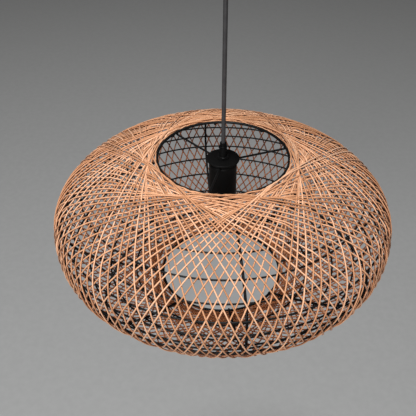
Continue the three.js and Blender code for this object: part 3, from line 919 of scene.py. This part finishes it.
def screw_mesh(name, shank, length, head, head_height):
    """A slotted screw along +X from its tip, with thread ridges, a crowned head and a slot."""
    turn = np.arange(64) / 64 * 2 * math.pi
    rings = [(0.0, 0.0), (shank * 0.7, 0.0), (shank * 0.9, 0.3)]
    ridges = int((length - 0.6) / 0.35)
    rings += [(shank * (1.0 if i % 2 else 0.86), 0.4 + 0.35 * i) for i in range(ridges)]
    rings += [(shank * 0.9, length), (head - 0.15, length), (head, length + 0.15)]
    shoulder = length + head_height * 0.72
    rings.append((head, shoulder))
    crown_height = head_height * 0.28
    crown = [
        (head * math.cos(t), shoulder + crown_height * math.sin(t)) for t in np.linspace(0.2, 1.35, 9)
    ]
    rings += crown
    rings += [(head * share, crown[-1][1]) for share in (0.16, 0.1, 0.05, 0.0)]
    rows = []
    for radius, x in rings:
        y, z = radius * np.cos(turn), radius * np.sin(turn)
        sunk = (np.abs(y) < head / 5) & (x > length + head_height * 0.5)
        rows.append(np.stack([np.where(sunk, length + head_height * 0.6, x), y, z], -1))
    mesh = grid_mesh(name, np.array(rows) * MM, False, True)
    mesh_outwards(mesh, merge=True)
    mesh.set_sharp_from_angle(angle=math.radians(40))
    return mesh


def screw(node, body, slot, sizes, tip_mm, azimuth):
    """A screw whose head faces an azimuth and whose tip is tip_mm from the cord's axis.

    sizes are the shank's radius and length and the head's radius and height, in mm.
    """
    low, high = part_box(node)
    mesh = screw_mesh(node, *sizes)
    out = Vector((math.sin(azimuth), -math.cos(azimuth), 0))
    across = Vector((math.cos(azimuth), math.sin(azimuth), 0))
    middle = Vector((0, 0, (low.z + high.z) / 2))
    for vertex in mesh.vertices:
        x, y, z = vertex.co
        vertex.co = middle + out * (x + tip_mm * MM) + across * y + Vector((0, 0, z))
    return piece(f"{node}_form", mesh, body, slot, [node])


for number, azimuth in ((1, math.pi / 2), (2, -math.pi / 2)):
    screw(f"canopy_screw_{number}", "ceiling", "black_metal", (2, 10, 4, 3), 40.3, azimuth)
screw("canopy_grip_screw", "ceiling", "black_metal", (1.5, 5.8, 2.6, 2.4), 3.7, -math.pi / 2)
screw("holder_grip_screw", "lamp", "black_metal", (1.5, 2.2, 2.4, 1.6), 3.7, math.radians(-42))

# ---------------------------------------------------------------- cord ends and cores


def catmull(points, steps):
    """A smooth path through points."""
    points = np.array(points, float)
    ends = np.concatenate([[2 * points[0] - points[1]], points, [2 * points[-1] - points[-2]]])
    out = []
    for i in range(1, len(ends) - 2):
        before, here, after, beyond = ends[i - 1 : i + 3]
        for t in np.arange(steps) / steps:
            out.append(0.5 * (
                2 * here + (after - before) * t + (2 * before - 5 * here + 4 * after - beyond) * t**2
                + (3 * here - before - 3 * after + beyond) * t**3))
    return np.array([*out, points[-1]])


def straight_cord(node, body):
    """A cord end held upright in a grip."""
    low_z, high_z = span(node)
    heights = np.linspace(low_z, high_z, 12)
    points = np.stack([0 * heights, 0 * heights, heights], -1)
    mesh = tube_mesh(node, points, CORD, 32, tapers=(0.94,))
    return piece(f"{node}_form", mesh, body, "cord_sheath", [node])


straight_cord("cord_in_canopy", "ceiling")
straight_cord("cord_in_holder", "lamp")


def core(node, body, slot, points_mm, base_z):
    """One insulated core through points in mm above base_z."""
    points = catmull(points_mm, 8) * MM + np.array([0, 0, base_z])
    mesh = tube_mesh(node, points, CORE, 16, tapers=(0.9,))
    return piece(f"{node}_form", mesh, body, slot, [node])


for side, pole, slot in ((-1, "live", "brown_core"), (1, "neutral", "blue_core")):
    core(
        f"canopy_{pole}_core", "ceiling", slot,
        [(side * 1.5, 0, -13.7), (side * 1.5, 0, -12.2), (side * 3.2, 5, -9.8), (side * 4.5, 11, -9.5),
         (side * 4.5, 16.5, -9.5)], 0)
    core(
        f"holder_{pole}_core", "lamp", slot,
        [(side * 1.5, 0, 85.2), (side * 1.5, 0, 83.5), (side * 6.5, 3.2, 80), (side * 8.5, 3.4, 78.5)],
        CENTRE_Z)

# ---------------------------------------------------------------- welds of the cage


def weld_beads():
    """A small bead of weld where each hoop, ring and spoke meets a rib or a ring."""
    places = []
    ring_height = height_of("top_ring")
    for number in range(RIB_COUNT):
        azimuth = FIRST_RIB + number * 2 * math.pi / RIB_COUNT
        for hoop in range(1, HOOP_COUNT + 1):
            height = height_of(f"upper_hoop_{hoop}")
            radius = radius_at_height(height, HOOP_DEPTH + HOOP_WIRE / 2)
            places += [(radius, azimuth, height, 1.5 * MM), (radius, azimuth, -height, 1.5 * MM)]
        places += [
            (RING_RADIUS, azimuth, ring_height - 1.6 * MM, 2.2 * MM),
            (RING_RADIUS, azimuth, -ring_height + 1.6 * MM, 2.2 * MM),
        ]
    for azimuth in SPOKE_AZIMUTHS:
        places.append((RING_RADIUS, azimuth, ring_height - 1.9 * MM, 2.4 * MM))
        places.append((HUB_RADIUS, azimuth, height_of("spider_hub"), 2.0 * MM))
    beads = bmesh.new()
    for radius, azimuth, height, size in places:
        made = bmesh.ops.create_icosphere(beads, subdivisions=2, radius=size)
        centre = Vector(around(np.array(radius), np.array(azimuth), np.array(height)))
        lumps = rng.uniform(0.85, 1.1, len(made["verts"]))
        for vertex, lump in zip(made["verts"], lumps):
            vertex.co = centre + vertex.co * float(lump)
    mesh = bpy.data.meshes.new("cage_welds")
    beads.to_mesh(mesh)
    beads.free()
    mesh.shade_smooth()
    return piece("cage_welds", mesh, "lamp", "black_metal")


weld_beads()

# ---------------------------------------------------------------- CAD nodes that are shown

SHOWN_NODES = {
    "mounting_bracket": "zinc_steel",
    "terminal_block": "insulator",
    "terminal_fixing_screw": "zinc_steel",
    "terminal_screw_1": "brass",
    "terminal_screw_2": "brass",
    "contact_insert": "insulator",
    "holder_terminal_live": "brass",
    "holder_terminal_neutral": "brass",
    "centre_contact": "brass",
}
for node, slot in SHOWN_NODES.items():
    shown = frame["nodes"][node]
    shown.data.materials.clear()
    shown.data.materials.append(LOOKS[slot])
    shown.modifiers.new("weld", "WELD").merge_threshold = 0.01 * MM
    soften = shown.modifiers.new("soften", "BEVEL")
    soften.width = 0.18 * MM
    soften.segments = 2
    soften.limit_method = "ANGLE"
    soften.angle_limit = math.radians(35)
    shown.modifiers.new("weighted", "WEIGHTED_NORMAL")

# ---------------------------------------------------------------- floor and light


def backdrop():
    """A pale floor far below the lamp."""
    size, height = 14.0, CENTRE_Z - 1.3
    count = 9
    steps = np.linspace(-size / 2, size / 2, count)
    grid_x, grid_y = np.meshgrid(steps, steps)
    rows = np.stack([grid_x, grid_y, np.full_like(grid_x, height)], -1)
    mesh = grid_mesh("floor", rows, False, False)
    made = bpy.data.objects.new("floor", mesh)
    bpy.context.scene.collection.objects.link(made)
    look = surface("floor", (0.35, 0.355, 0.355), (0.37, 0.375, 0.375), 0.9, 40, 0.1 * MM)
    mesh.materials.append(look)


backdrop()


def area_light(name, place, size, power, colour=(1, 1, 1)):
    """A round soft light aimed at the shade's centre."""
    data = bpy.data.lights.new(name, "AREA")
    data.shape = "DISK"
    data.size = size
    data.energy = power
    data.color = colour
    made = bpy.data.objects.new(name, data)
    bpy.context.scene.collection.objects.link(made)
    made.location = place
    aim = Vector((0, 0, CENTRE_Z)) - Vector(place)
    made.rotation_mode = "QUATERNION"
    made.rotation_quaternion = aim.to_track_quat("-Z", "Y")


area_light("key", (-0.4, -0.4, 4.0), 1.3, 215)
area_light("front", (-1.0, -3.6, 1.2), 1.6, 125, (1, 0.99, 0.98))

world = bpy.data.worlds.new("studio")
world.use_nodes = True
background = world.node_tree.nodes["Background"]
background.inputs["Color"].default_value = (0.8, 0.77, 0.74, 1)
background.inputs["Strength"].default_value = 0.1
bpy.context.scene.world = world
bpy.context.scene.view_settings.view_transform = "Standard"
